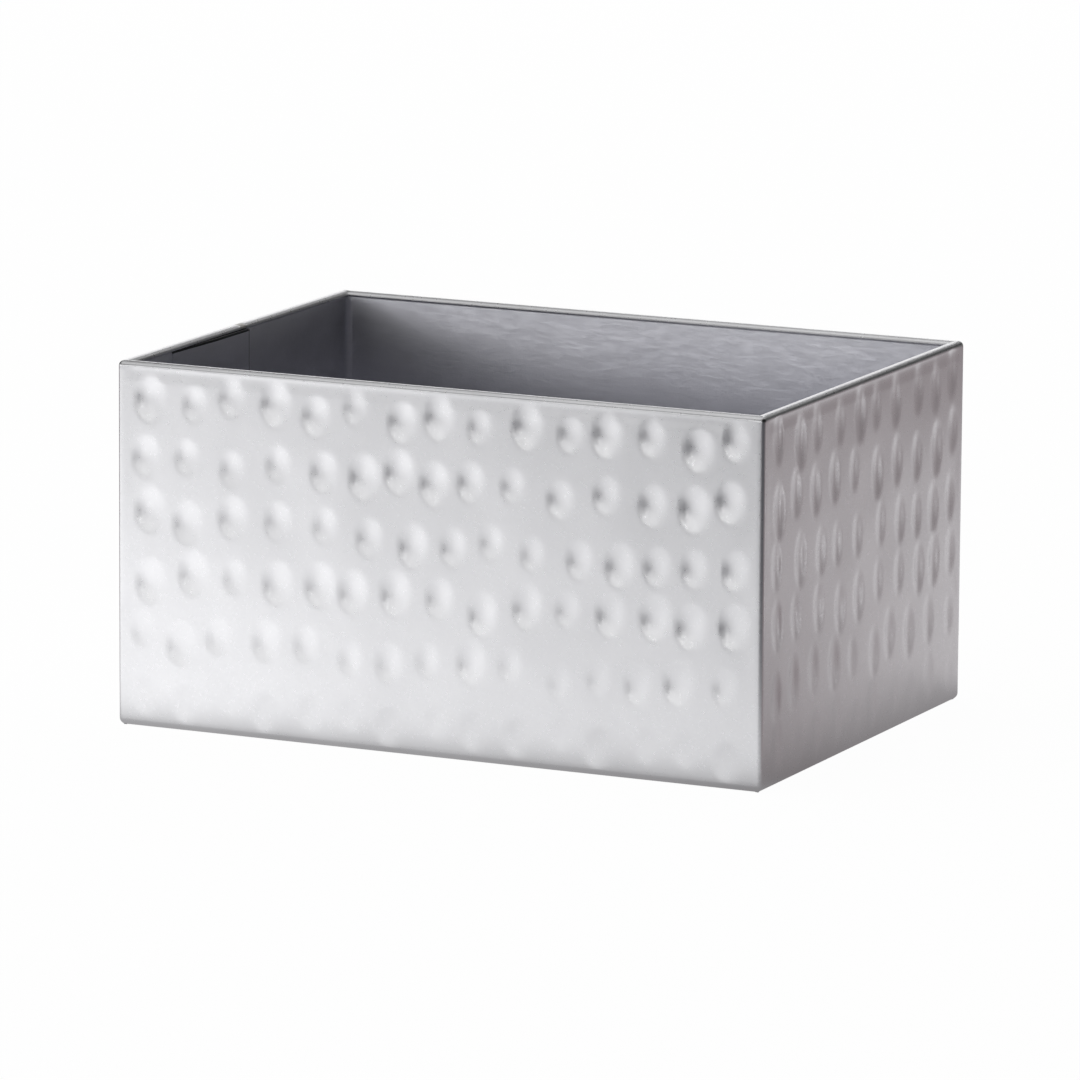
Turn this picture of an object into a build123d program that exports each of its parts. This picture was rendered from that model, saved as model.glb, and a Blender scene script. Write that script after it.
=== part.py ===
from build123d import *
import os
from math import sin, sqrt

# Sugar packet holder: an open box of stainless sheet, hammered outside, smooth inside.
# Millimetres. X runs along the long walls, Y across, Z up. The origin is the middle of the
# underside, on the surface that the holder stands on.

# Outside size
LENGTH = 97.0
WIDTH = 69.0
HEIGHT = 51.0

# Sheet thicknesses
SKIN_T = 0.6
LINER_T = 0.5
BASE_T = 0.6
FLOOR_T = 0.5

# Inside bend radii
SKIN_BEND = 0.4
RIM_BEND = 0.15
LINER_BEND = 0.8
FOOT_BEND = 0.3

# Hammer marks: a round-nosed punch, set out by eye in rows and columns. ROW_SHIFT slides a whole
# row along its wall, SCATTER_UP moves one mark up or down, DEPTH_SPREAD is a share of the depth.
PUNCH_R = 8.5
DIMPLE_DEPTH = 0.3
DEPTH_SPREAD = 0.25
DIMPLE_PITCH_ALONG = 6.25
DIMPLE_PITCH_UP = 8.2
DIMPLE_EDGE = 4.6
ROW_SHIFT = 0.7
SCATTER_UP = 0.9

# Turned-in flanges, with a hairline slit where two of them meet at a corner. RIM_LIP is how far the
# rim stands proud of the liner's inside face; the other two are the flat widths beyond the bend.
RIM_LIP = 0.15
BASE_FLANGE = 5.0
FOOT_FLANGE = 4.0
MITRE_GAP = 0.3

# Lap seam of the liner, on the left end: the free end that shows, the overlap, and the step before it
LAP_LENGTH = 8.0
LAP_END_Y = 1.0
JOG_LENGTH = 3.0

# Welds: the skin's butt seam on the left end, and round plugs through one sheet onto the next
SEAM_Y = 0.0
SEAM_W = 1.5
PLUG_R = 1.5
LAP_PLUGS = 4
LONG_SIDE_PLUGS = 3
SHORT_SIDE_PLUGS = 2

# Fits and clearances. PUNCH_STAND is how far a punch stands out of the sheet at the deepest mark.
BUMP_CLEAR = 0.125
PUNCH_STAND = 0.02
PLATE_FIT = 0.1
LAP_GAP = 0.05
TAB_CLEAR = 0.2
PLUG_FIT = 0.05

# Faces that several pieces share, as distances in from the outside of the box
deepest = DIMPLE_DEPTH * (1 + DEPTH_SPREAD)
wall_gap = deepest + BUMP_CLEAR
liner_out = SKIN_T + wall_gap
liner_in = liner_out + LINER_T
rim_edge = liner_in + RIM_LIP
base_flange_edge = SKIN_T + SKIN_BEND + BASE_FLANGE
foot_start = liner_in + FOOT_BEND
foot_edge = foot_start + FOOT_FLANGE
base_plate_edge = SKIN_T + SKIN_BEND + PLATE_FIT
floor_plate_edge = foot_start + PLATE_FIT

# Widest reach of a hammer mark, on the hollow side of the sheet
mark_r = sqrt(2 * (PUNCH_R + SKIN_T) * (deepest + PUNCH_STAND))

# Levels that several pieces share
base_top = SKIN_T + BASE_T
foot_top = base_top + LINER_T
floor_top = foot_top + FLOOR_T
liner_top = HEIGHT - SKIN_T


def slab(inset, bottom, top, corner_r=0.0):
    """Upright block, inset all round from the outside of the box, with rounded upright edges."""
    block = Pos(0, 0, (bottom + top) / 2) * Box(LENGTH - 2 * inset, WIDTH - 2 * inset, top - bottom)
    if corner_r > 0:
        block = fillet(block.edges().filter_by(Axis.Z), corner_r)
    return block


def folded_block(inset, bottom, top, side_r, bottom_r, top_r=0.0):
    """Block with bent sides: rounded upright edges, a rounded bottom edge and maybe a rounded top."""
    block = slab(inset, bottom, top)
    uprights = block.edges().filter_by(Axis.Z)
    if side_r == bottom_r:
        block = fillet(uprights + block.faces().sort_by(Axis.Z)[0].edges(), side_r)
    else:
        block = fillet(uprights, side_r)
        block = fillet(block.faces().sort_by(Axis.Z)[0].edges(), bottom_r)
    if top_r > 0:
        block = fillet(block.faces().sort_by(Axis.Z)[-1].edges(), top_r)
    return block


def mitre_slits(bend_end, flange_edge, level, thickness):
    """Four thin cutters along the corner diagonals, from the end of the bend past the flange's edge."""
    start = bend_end * sqrt(2)
    end = flange_edge * sqrt(2) + MITRE_GAP
    middle = (start + end) / 2 / sqrt(2)
    cutters = []
    for side_x in (-1, 1):
        for side_y in (-1, 1):
            cutter = Rot(0, 0, 45 * side_x * side_y) * Box(end - start, MITRE_GAP, 2 * thickness)
            cutters.append(Pos(side_x * (LENGTH / 2 - middle), side_y * (WIDTH / 2 - middle), level) * cutter)
    return cutters


def scatter(column, row, wall):
    """An uneven number from -1 to 1 for one hammer mark, the same at every build."""
    return sin(2.4 * column + 3.9 * row + 2 * sin(5.1 * column * row + 1.3 * wall))


def wall_dimples(wall, wall_length):
    """Places of the hammer marks on one wall, as along, up and depth, from the middle of its foot.

    Each row has its own uneven gaps between marks, none so small that two marks meet.
    """
    span = wall_length - 2 * DIMPLE_EDGE
    rise = HEIGHT - 2 * DIMPLE_EDGE
    columns = int(span / DIMPLE_PITCH_ALONG) + 1
    rows = int(rise / DIMPLE_PITCH_UP) + 1
    gap_spread = 1 - 2 * mark_r * (columns - 1) / span
    marks = []
    for row in range(rows):
        gaps = [1 + gap_spread * scatter(column, row, wall) for column in range(columns - 1)]
        for column in range(columns):
            along = span * (sum(gaps[:column]) / sum(gaps) - 0.5) + ROW_SHIFT * scatter(row, row, wall)
            up = DIMPLE_EDGE + rise * row / (rows - 1) + SCATTER_UP * scatter(row, column, wall)
            depth = DIMPLE_DEPTH * (1 + DEPTH_SPREAD * scatter(column + row, row, wall))
            marks.append((along, up, depth))
    return marks


def punches(radius):
    """Noses of round punches set into the four walls: front, right, back and left.

    Each nose is the end of a ball, as deep as the deepest mark, with its tip towards the inside.
    """
    nose_depth = deepest + PUNCH_STAND
    nose = Sphere(radius) & Pos(0, radius - nose_depth / 2, 0) * Box(2 * radius, nose_depth, 2 * radius)
    noses = []
    for wall in range(4):
        wall_length = LENGTH if wall % 2 == 0 else WIDTH
        reach = WIDTH / 2 if wall % 2 == 0 else LENGTH / 2
        for along, up, depth in wall_dimples(wall, wall_length):
            on_seam = wall == 3 and abs(along + SEAM_Y) < mark_r + SEAM_W / 2
            if not on_seam:
                noses.append(Rot(0, 0, 90 * wall) * Pos(along, depth - PUNCH_R - reach, up) * nose)
    return noses


def seam_slab():
    """The strip of the left end that the butt weld fills, from rim to base flange."""
    return Pos(-LENGTH / 2, SEAM_Y, HEIGHT / 2) * Box(4 * base_flange_edge, SEAM_W, 2 * HEIGHT)


def make_skin_band():
    """The whole outer band, with its rim and base flange, before the seam and the plug holes."""
    bend_r = SKIN_T + SKIN_BEND
    rim_r = SKIN_T + RIM_BEND
    outside = folded_block(0, 0, HEIGHT, bend_r, bend_r, rim_r) - punches(PUNCH_R)
    hollow = folded_block(SKIN_T, SKIN_T, liner_top, SKIN_BEND, SKIN_BEND, RIM_BEND)
    hollow = hollow - punches(PUNCH_R + SKIN_T)
    band = outside - hollow
    band = band - slab(rim_edge, HEIGHT / 2, 2 * HEIGHT)
    band = band - slab(base_flange_edge, -HEIGHT, HEIGHT / 2)
    band = band - mitre_slits(rim_r, rim_edge, HEIGHT, SKIN_T)
    return band - mitre_slits(bend_r, base_flange_edge, 0, SKIN_T)


def plug_places(inset):
    """Middles of the plug welds round the box, at one distance in from its outside."""
    half_x = LENGTH / 2 - inset
    half_y = WIDTH / 2 - inset
    places = []
    for side in (-1, 1):
        for number in range(LONG_SIDE_PLUGS):
            share = (number + 0.5) / LONG_SIDE_PLUGS * 2 - 1
            places.append((share * half_x, side * half_y))
        for number in range(SHORT_SIDE_PLUGS):
            share = (number + 0.5) / SHORT_SIDE_PLUGS * 2 - 1
            places.append((side * half_x, share * half_y))
    return places


def upright_plugs(inset, bottom, top, radius):
    """Round plugs standing between two levels."""
    return [
        Pos(x, y, (bottom + top) / 2) * Cylinder(radius, top - bottom) for x, y in plug_places(inset)
    ]


# Lap of the liner: the rear end stays in the wall, the front end steps in and lies over it
lap_face = -(LENGTH / 2 - liner_out)
lap_step = LINER_T + LAP_GAP
lap_start_y = LAP_END_Y - LAP_LENGTH
jog_start_y = lap_start_y - MITRE_GAP - JOG_LENGTH
tab_bottom = floor_top + TAB_CLEAR


def lap_plugs(radius, start, end):
    """Round plugs across the lap, in a row up its middle."""
    height = liner_top - tab_bottom
    middle_y = (lap_start_y + LAP_END_Y) / 2
    plugs = []
    for number in range(LAP_PLUGS):
        z = tab_bottom + height * (number + 0.5) / LAP_PLUGS
        plug = Rot(0, 90, 0) * Cylinder(radius, end - start)
        plugs.append(Pos((start + end) / 2, middle_y, z) * plug)
    return plugs


def make_liner():
    """The inner band: four walls, a turned-in foot, and a lapped seam on the left end."""
    foot_r = LINER_T + FOOT_BEND
    band = folded_block(liner_out, base_top, liner_top, LINER_T + LINER_BEND, foot_r)
    band = band - folded_block(liner_in, foot_top, 2 * HEIGHT, LINER_BEND, FOOT_BEND)
    band = band - slab(foot_edge, -HEIGHT, HEIGHT / 2)
    band = band - mitre_slits(liner_out + foot_r, foot_edge, base_top, LINER_T)

    window_y = (jog_start_y + lap_start_y) / 2
    window_w = lap_start_y - jog_start_y
    window = Box(4 * LINER_T, window_w, 2 * HEIGHT, align=(Align.CENTER, Align.CENTER, Align.MIN))
    slit_y = lap_start_y - MITRE_GAP / 2
    slit_reach = foot_edge - liner_out
    slit = Box(2 * slit_reach, MITRE_GAP, 2 * tab_bottom)
    band = band - Pos(lap_face, window_y, tab_bottom) * window
    band = band - Pos(lap_face, slit_y, 0) * slit

    tab_face = lap_face + lap_step
    outline = Polyline(
        (lap_face, jog_start_y),
        (tab_face, jog_start_y + JOG_LENGTH),
        (tab_face, LAP_END_Y),
        (tab_face + LINER_T, LAP_END_Y),
        (tab_face + LINER_T, jog_start_y + JOG_LENGTH),
        (lap_face + LINER_T, jog_start_y),
        close=True,
    )
    tab = Pos(0, 0, tab_bottom) * extrude(make_face(outline), liner_top - tab_bottom)
    holes = lap_plugs(PLUG_R + PLUG_FIT, tab_face - LAP_GAP / 2, tab_face + 2 * LINER_T)
    return band + (tab - holes)


# Pieces, one file each
skin_band = make_skin_band()
base_weld_inset = (SKIN_T + SKIN_BEND + base_flange_edge) / 2
floor_weld_inset = (foot_start + foot_edge) / 2
base_holes = upright_plugs(base_weld_inset, -SKIN_T, SKIN_T, PLUG_R + PLUG_FIT)
floor_holes = upright_plugs(floor_weld_inset, foot_top, 2 * floor_top, PLUG_R + PLUG_FIT)

pieces = {
    "outer_skin": skin_band - seam_slab() - base_holes,
    "skin_seam_weld": skin_band & seam_slab(),
    "base_plate": slab(base_plate_edge, SKIN_T, base_top, SKIN_BEND),
    "base_plug_welds": Compound(upright_plugs(base_weld_inset, 0, SKIN_T, PLUG_R)),
    "liner": make_liner(),
    "liner_lap_welds": Compound(lap_plugs(PLUG_R, lap_face + LINER_T, lap_face + lap_step + LINER_T)),
    "floor_plate": slab(floor_plate_edge, foot_top, floor_top, LINER_BEND) - floor_holes,
    "floor_plug_welds": Compound(upright_plugs(floor_weld_inset, foot_top, floor_top, PLUG_R)),
}

os.makedirs("parts", exist_ok=True)
for name, piece in pieces.items():
    export_step(piece, f"parts/{name}.step")
    print(name, len(piece.solids()), "solids", round(piece.volume, 1), "mm3")
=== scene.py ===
"""Dresses a sugar packet holder: an open, double-walled box of stainless sheet, hammered outside.

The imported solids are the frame. The outer skin, its seam weld, the liner and the plug welds that lie
in them are drawn again as fine surfaces in the same places; the flat plates keep their solids and get
a finish. Shapes are worked out in millimetres and become metres when a mesh is made.
"""

import logging
import math
from dataclasses import dataclass, field, fields, replace
from enum import Enum

import bpy
import numpy as np
from mathutils import Matrix, Vector


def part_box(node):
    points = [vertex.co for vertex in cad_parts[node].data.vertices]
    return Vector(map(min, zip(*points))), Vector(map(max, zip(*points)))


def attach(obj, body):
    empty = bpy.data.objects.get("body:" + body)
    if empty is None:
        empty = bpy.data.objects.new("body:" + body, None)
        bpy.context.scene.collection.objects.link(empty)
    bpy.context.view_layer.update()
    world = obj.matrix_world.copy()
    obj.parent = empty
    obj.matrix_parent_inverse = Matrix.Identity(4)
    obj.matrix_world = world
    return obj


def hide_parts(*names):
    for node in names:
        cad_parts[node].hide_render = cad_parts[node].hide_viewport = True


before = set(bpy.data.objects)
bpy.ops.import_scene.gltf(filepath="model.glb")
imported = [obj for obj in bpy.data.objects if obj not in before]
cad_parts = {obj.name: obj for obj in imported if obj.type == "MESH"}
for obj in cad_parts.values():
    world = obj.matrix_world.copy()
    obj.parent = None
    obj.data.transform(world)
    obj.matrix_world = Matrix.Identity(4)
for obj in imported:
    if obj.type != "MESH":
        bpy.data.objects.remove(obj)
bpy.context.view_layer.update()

LOG = logging.getLogger("packet_holder")

MM = 0.001
BODY = "root"
# Radius of every plug weld.
PLUG_R = 1.5
X_AXIS, Y_AXIS, Z_AXIS = np.eye(3)

Pair = tuple[float, float]
Colour = tuple[float, float, float, float]
# A part of a section: its distances in from the outer face, and its levels.
Part = tuple[np.ndarray, np.ndarray]


class Wall(Enum):
    """The four walls, anticlockwise from above, by their number in the hammer pattern."""

    FRONT = 0
    RIGHT = 1
    BACK = 2
    LEFT = 3

    @property
    def outward(self) -> np.ndarray:
        """Direction in plan that the outside of the wall faces."""
        return np.array([(0.0, -1.0), (1.0, 0.0), (0.0, 1.0), (-1.0, 0.0)][self.value])

    @property
    def along(self) -> np.ndarray:
        """Direction in plan in which the wall runs: the outward one, a quarter turn anticlockwise."""
        x, y = self.outward
        return np.array([-y, x])

    @property
    def is_long(self) -> bool:
        """Whether it is one of the two long walls."""
        return self in (Wall.FRONT, Wall.BACK)


class Streaks(Enum):
    """Which way a brushed finish runs, as pattern scales per metre along X, Y and Z."""

    ROUND_THE_WALLS = (460.0, 460.0, 2300.0)
    LENGTHWISE = (420.0, 2400.0, 420.0)


def node_box(node: str) -> tuple[np.ndarray, np.ndarray]:
    """Lowest and highest corners of a solid of the frame, in millimetres."""
    low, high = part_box(node)
    return np.array(low) / MM, np.array(high) / MM


def smooth_step(share: np.ndarray) -> np.ndarray:
    """Eases 0 to 1 with level ends: 3 t squared less 2 t cubed, with t held between 0 and 1."""
    t = np.clip(share, 0.0, 1.0)
    return t * t * (3.0 - 2.0 * t)


def join_parts(parts: list[Part], count: int) -> Part:
    """Joins the parts of a section end to end, for every station.

    Args:
        parts: Distances in and levels of each part, in one row for all stations or a row for each.
        count: Number of stations.

    Returns:
        Distances in and levels, as stations by section points.
    """
    inset = [np.broadcast_to(part, (count, part.shape[1])) for part, _ in parts]
    level = [np.broadcast_to(part, (count, part.shape[1])) for _, part in parts]
    return np.concatenate(inset, axis=1), np.concatenate(level, axis=1)


def plug_places(half_x: float, half_y: float, inset: float) -> list[Pair]:
    """Middles of the plug welds round the box: three on a long side, two on a short one.

    Args:
        half_x: Half of the box's length.
        half_y: Half of its width.
        inset: Distance in from the outside.

    Returns:
        Places in plan.
    """
    reach_x, reach_y = half_x - inset, half_y - inset
    long_side = [(share * reach_x, side * reach_y) for side in (-1, 1) for share in (-2 / 3, 0.0, 2 / 3)]
    short_side = [(side * reach_x, share * reach_y) for side in (-1, 1) for share in (-1 / 2, 1 / 2)]
    return long_side + short_side


@dataclass
class Stations:
    """Places along a path in plan, one row each.

    Attributes:
        point: Places on the outer face of the sheet, in millimetres.
        outward: Directions that the outer face looks.
        reach: Distance from the nearest corner, measured square to the wall that meets there.
        wall: Number of the wall that each place belongs to.
        along: Distance along that wall from its middle.
    """

    point: np.ndarray
    outward: np.ndarray
    reach: np.ndarray
    wall: np.ndarray
    along: np.ndarray


@dataclass(frozen=True)
class BandPath:
    """A rounded rectangle in plan, open on the left wall.

    Attributes:
        half_x: Half of its length.
        half_y: Half of its width.
        corner_r: Radius of its corners.
        step: Widest distance between stations on a wall.
        breaks: Distances from a corner that get a station of their own.
        corner_steps: Number of steps round a corner.
    """

    half_x: float
    half_y: float
    corner_r: float
    step: float
    breaks: tuple[float, ...] = ()
    corner_steps: int = 6

    def halves(self, wall: Wall) -> Pair:
        """Half of a wall's length, and its distance from the middle of the box."""
        return (self.half_x, self.half_y) if wall.is_long else (self.half_y, self.half_x)

    def gather(self, point: np.ndarray, outward: np.ndarray, wall: Wall, along: np.ndarray) -> Stations:
        """Adds the reach: the larger of the two distances in from the sides of the rectangle."""
        inset = np.array([self.half_x, self.half_y]) - np.abs(point)
        return Stations(point, outward, inset.max(axis=1), np.full(len(point), wall.value), along)

    def run(self, wall: Wall, start: float, end: float) -> Stations:
        """Stations on a straight stretch of one wall, at even steps and at the breaks.

        Args:
            wall: The wall.
            start: Where the stretch starts, along the wall from its middle.
            end: Where it ends.

        Returns:
            The stations.
        """
        half, distance = self.halves(wall)
        even = np.linspace(start, end, math.ceil((end - start) / self.step) + 1)
        breaks = np.array([side * (half - reach) for reach in self.breaks for side in (-1, 1)])
        along = np.unique(np.concatenate([even, breaks[(breaks > start) & (breaks < end)]]))
        point = along[:, None] * wall.along + distance * wall.outward
        return self.gather(point, np.tile(wall.outward, (len(along), 1)), wall, along)

    def corner(self, wall: Wall) -> Stations:
        """Stations round the corner at the end of a wall, without its two ends.

        A place is the corner's centre plus the radius times the outward direction, which turns from the
        wall's own outward direction to its along direction through a quarter turn.

        Args:
            wall: The wall that ends at the corner.

        Returns:
            The stations.
        """
        half, distance = self.halves(wall)
        angle = np.linspace(0.0, math.pi / 2, self.corner_steps + 1)[1:-1, None]
        outward = np.cos(angle) * wall.outward + np.sin(angle) * wall.along
        centre = (half - self.corner_r) * wall.along + (distance - self.corner_r) * wall.outward
        point = centre + self.corner_r * outward
        return self.gather(point, outward, wall, np.full(len(point), half))

    def round_from(self, start_y: float, end_y: float) -> Stations:
        """Stations anticlockwise from one place on the left wall to another.

        Args:
            start_y: Where the band starts, going towards the front.
            end_y: Where it ends, coming from the back.

        Returns:
            The stations.
        """
        parts = [self.run(Wall.LEFT, -start_y, self.half_y - self.corner_r), self.corner(Wall.LEFT)]
        for wall in (Wall.FRONT, Wall.RIGHT, Wall.BACK):
            half = self.halves(wall)[0] - self.corner_r
            parts += [self.run(wall, -half, half), self.corner(wall)]
        parts.append(self.run(Wall.LEFT, self.corner_r - self.half_y, -end_y))
        names = [entry.name for entry in fields(Stations)]
        return Stations(*(np.concatenate([getattr(part, name) for part in parts]) for name in names))


@dataclass(frozen=True)
class HammerMarks:
    """Marks of a round-nosed punch in uneven rows, in the places where the solid skin has them.

    Attributes:
        punch_r: Radius of the punch.
        depth: Middle depth of a mark.
        depth_spread: How much the depth varies, as a share.
        pitch_along: Widest even spacing along a row.
        pitch_up: Widest even spacing of the rows.
        edge: Margin from the edges of the wall to the outer marks.
        row_shift: How far a whole row slides.
        scatter_up: How far one mark moves up or down.
        sheet: Thickness of the sheet, which widens a mark on its hidden side.
        stand: How far a punch stands out of the sheet at the deepest mark.
        spread_long: Width and height of a mark on a long wall, as shares of the punch's own.
        spread_short: The same on a short wall.
        lean_long: How far the punch leaned on a long wall, along and up, as shares.
        lean_short: The same on a short wall.
        lean_scale: Depth that a leaning mark keeps of an upright one's.
        softness: Height over which the edge of a mark is rounded off.
        foot_fade: Share of its depth that a mark loses at the foot, where the bend stiffens the sheet.
        foot_reach: Levels from which and up to which that share shrinks to nothing.
    """

    punch_r: float = 8.5
    depth: float = 0.3
    depth_spread: float = 0.25
    pitch_along: float = 6.25
    pitch_up: float = 8.2
    edge: float = 4.6
    row_shift: float = 0.7
    scatter_up: float = 0.9
    sheet: float = 0.6
    stand: float = 0.02
    spread_long: Pair = (0.97, 1.28)
    spread_short: Pair = (0.78, 1.65)
    lean_long: Pair = (-0.9, 0.3)
    lean_short: Pair = (0.4, 0.2)
    lean_scale: float = 0.95
    softness: float = 0.02
    foot_fade: float = 0.6
    foot_reach: Pair = (4.0, 12.0)

    # Angles of the scatter in radians, for each column, row, column times row and wall, and its sway.
    COLUMN_TURN, ROW_TURN, CROSS_TURN, WALL_TURN, SWAY = 2.4, 3.9, 5.1, 1.3, 2.0

    @property
    def reach(self) -> float:
        """Widest radius of a mark, on the hidden side of the sheet."""
        deepest = self.depth * (1 + self.depth_spread)
        return math.sqrt(2 * (self.punch_r + self.sheet) * (deepest + self.stand))

    def scatter(self, column: np.ndarray, row: np.ndarray, wall: Wall) -> np.ndarray:
        """An uneven number from -1 to 1 for each mark: a sine whose angle holds another sine."""
        sway = self.SWAY * np.sin(self.CROSS_TURN * column * row + self.WALL_TURN * wall.value)
        return np.sin(self.COLUMN_TURN * column + self.ROW_TURN * row + sway)

    def places(self, wall: Wall, length: float, height: float) -> np.ndarray:
        """Places and depths of the marks on one wall.

        Each row shares out the wall's length among gaps that differ by the scatter, and each mark then
        moves up or down by the scatter.

        Args:
            wall: The wall.
            length: Its length.
            height: Its height.

        Returns:
            Rows of along, up and depth.
        """
        span = length - 2 * self.edge
        rise = height - 2 * self.edge
        columns = int(span / self.pitch_along) + 1
        rows = int(rise / self.pitch_up) + 1
        row, column = np.meshgrid(np.arange(rows), np.arange(columns), indexing="ij")
        gap_spread = 1 - 2 * self.reach * (columns - 1) / span
        gaps = 1 + gap_spread * self.scatter(column[:, :-1], row[:, :-1], wall)
        start = np.pad(np.cumsum(gaps, axis=1), ((0, 0), (1, 0)))
        along = span * (start / start[:, -1:] - 0.5) + self.row_shift * self.scatter(row, row, wall)
        up = self.edge + rise * row / (rows - 1) + self.scatter_up * self.scatter(row, column, wall)
        depth = self.depth * (1 + self.depth_spread * self.scatter(column + row, row, wall))
        return np.stack([along.ravel(), up.ravel(), depth.ravel()], axis=1)

    def dent(self, wall: Wall, marks: np.ndarray, along: np.ndarray, up: np.ndarray) -> np.ndarray:
        """Depth of the surface at a grid of places on one wall.

        A mark is a cap: its depth times one less the squared share of its radius, which is that of the
        punch at that depth, spread. It leans: the cap is multiplied by one plus the lean times the share
        of the radius each way, so it is steep on one side and runs out on the other. It is shallower near
        the foot. The edge is rounded by a soft maximum with zero, the logarithm of one plus the
        exponential.

        Args:
            wall: The wall.
            marks: Rows of along, up and depth.
            along: Places along the wall.
            up: Levels.

        Returns:
            Depths, one row for each place along and one column for each level.
        """
        spread = self.spread_long if wall.is_long else self.spread_short
        lean = self.lean_long if wall.is_long else self.lean_short
        radius = np.sqrt(2 * self.punch_r * marks[:, 2])
        aside = (along[:, None, None] - marks[:, 0]) / (spread[0] * radius)
        above = (up[None, :, None] - marks[:, 1]) / (spread[1] * radius)
        leaning = 1 + np.clip(lean[0] * aside + lean[1] * above, -1.0, 1.0)
        low, high = self.foot_reach
        kept = 1 - self.foot_fade * (1 - smooth_step((marks[:, 1] - low) / (high - low)))
        cap = (self.lean_scale * kept * marks[:, 2] * (1 - aside**2 - above**2) * leaning).max(axis=2)
        return self.softness * np.logaddexp(0.0, cap / self.softness)


@dataclass(frozen=True)
class Ripple:
    """A slanting wave of the hammered sheet, bent by a longer one.

    Attributes:
        along: Angle for each millimetre along the wall, in radians.
        up: The same for each millimetre up.
        wall: The same from each wall to the next.
        sway: How far the longer wave moves the angle.
        sway_along: Angle of the longer wave for each millimetre along.
        sway_up: The same for each millimetre up.
    """

    along: float
    up: float
    wall: float
    sway: float
    sway_along: float
    sway_up: float

    def swing(self, along: np.ndarray, up: np.ndarray, wall: np.ndarray) -> np.ndarray:
        """Height from -1 to 1: a sine whose angle holds another sine."""
        bent = self.sway * np.sin(self.sway_along * along + self.sway_up * up)
        return np.sin(self.along * along + self.up * up + self.wall * wall + bent)


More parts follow.
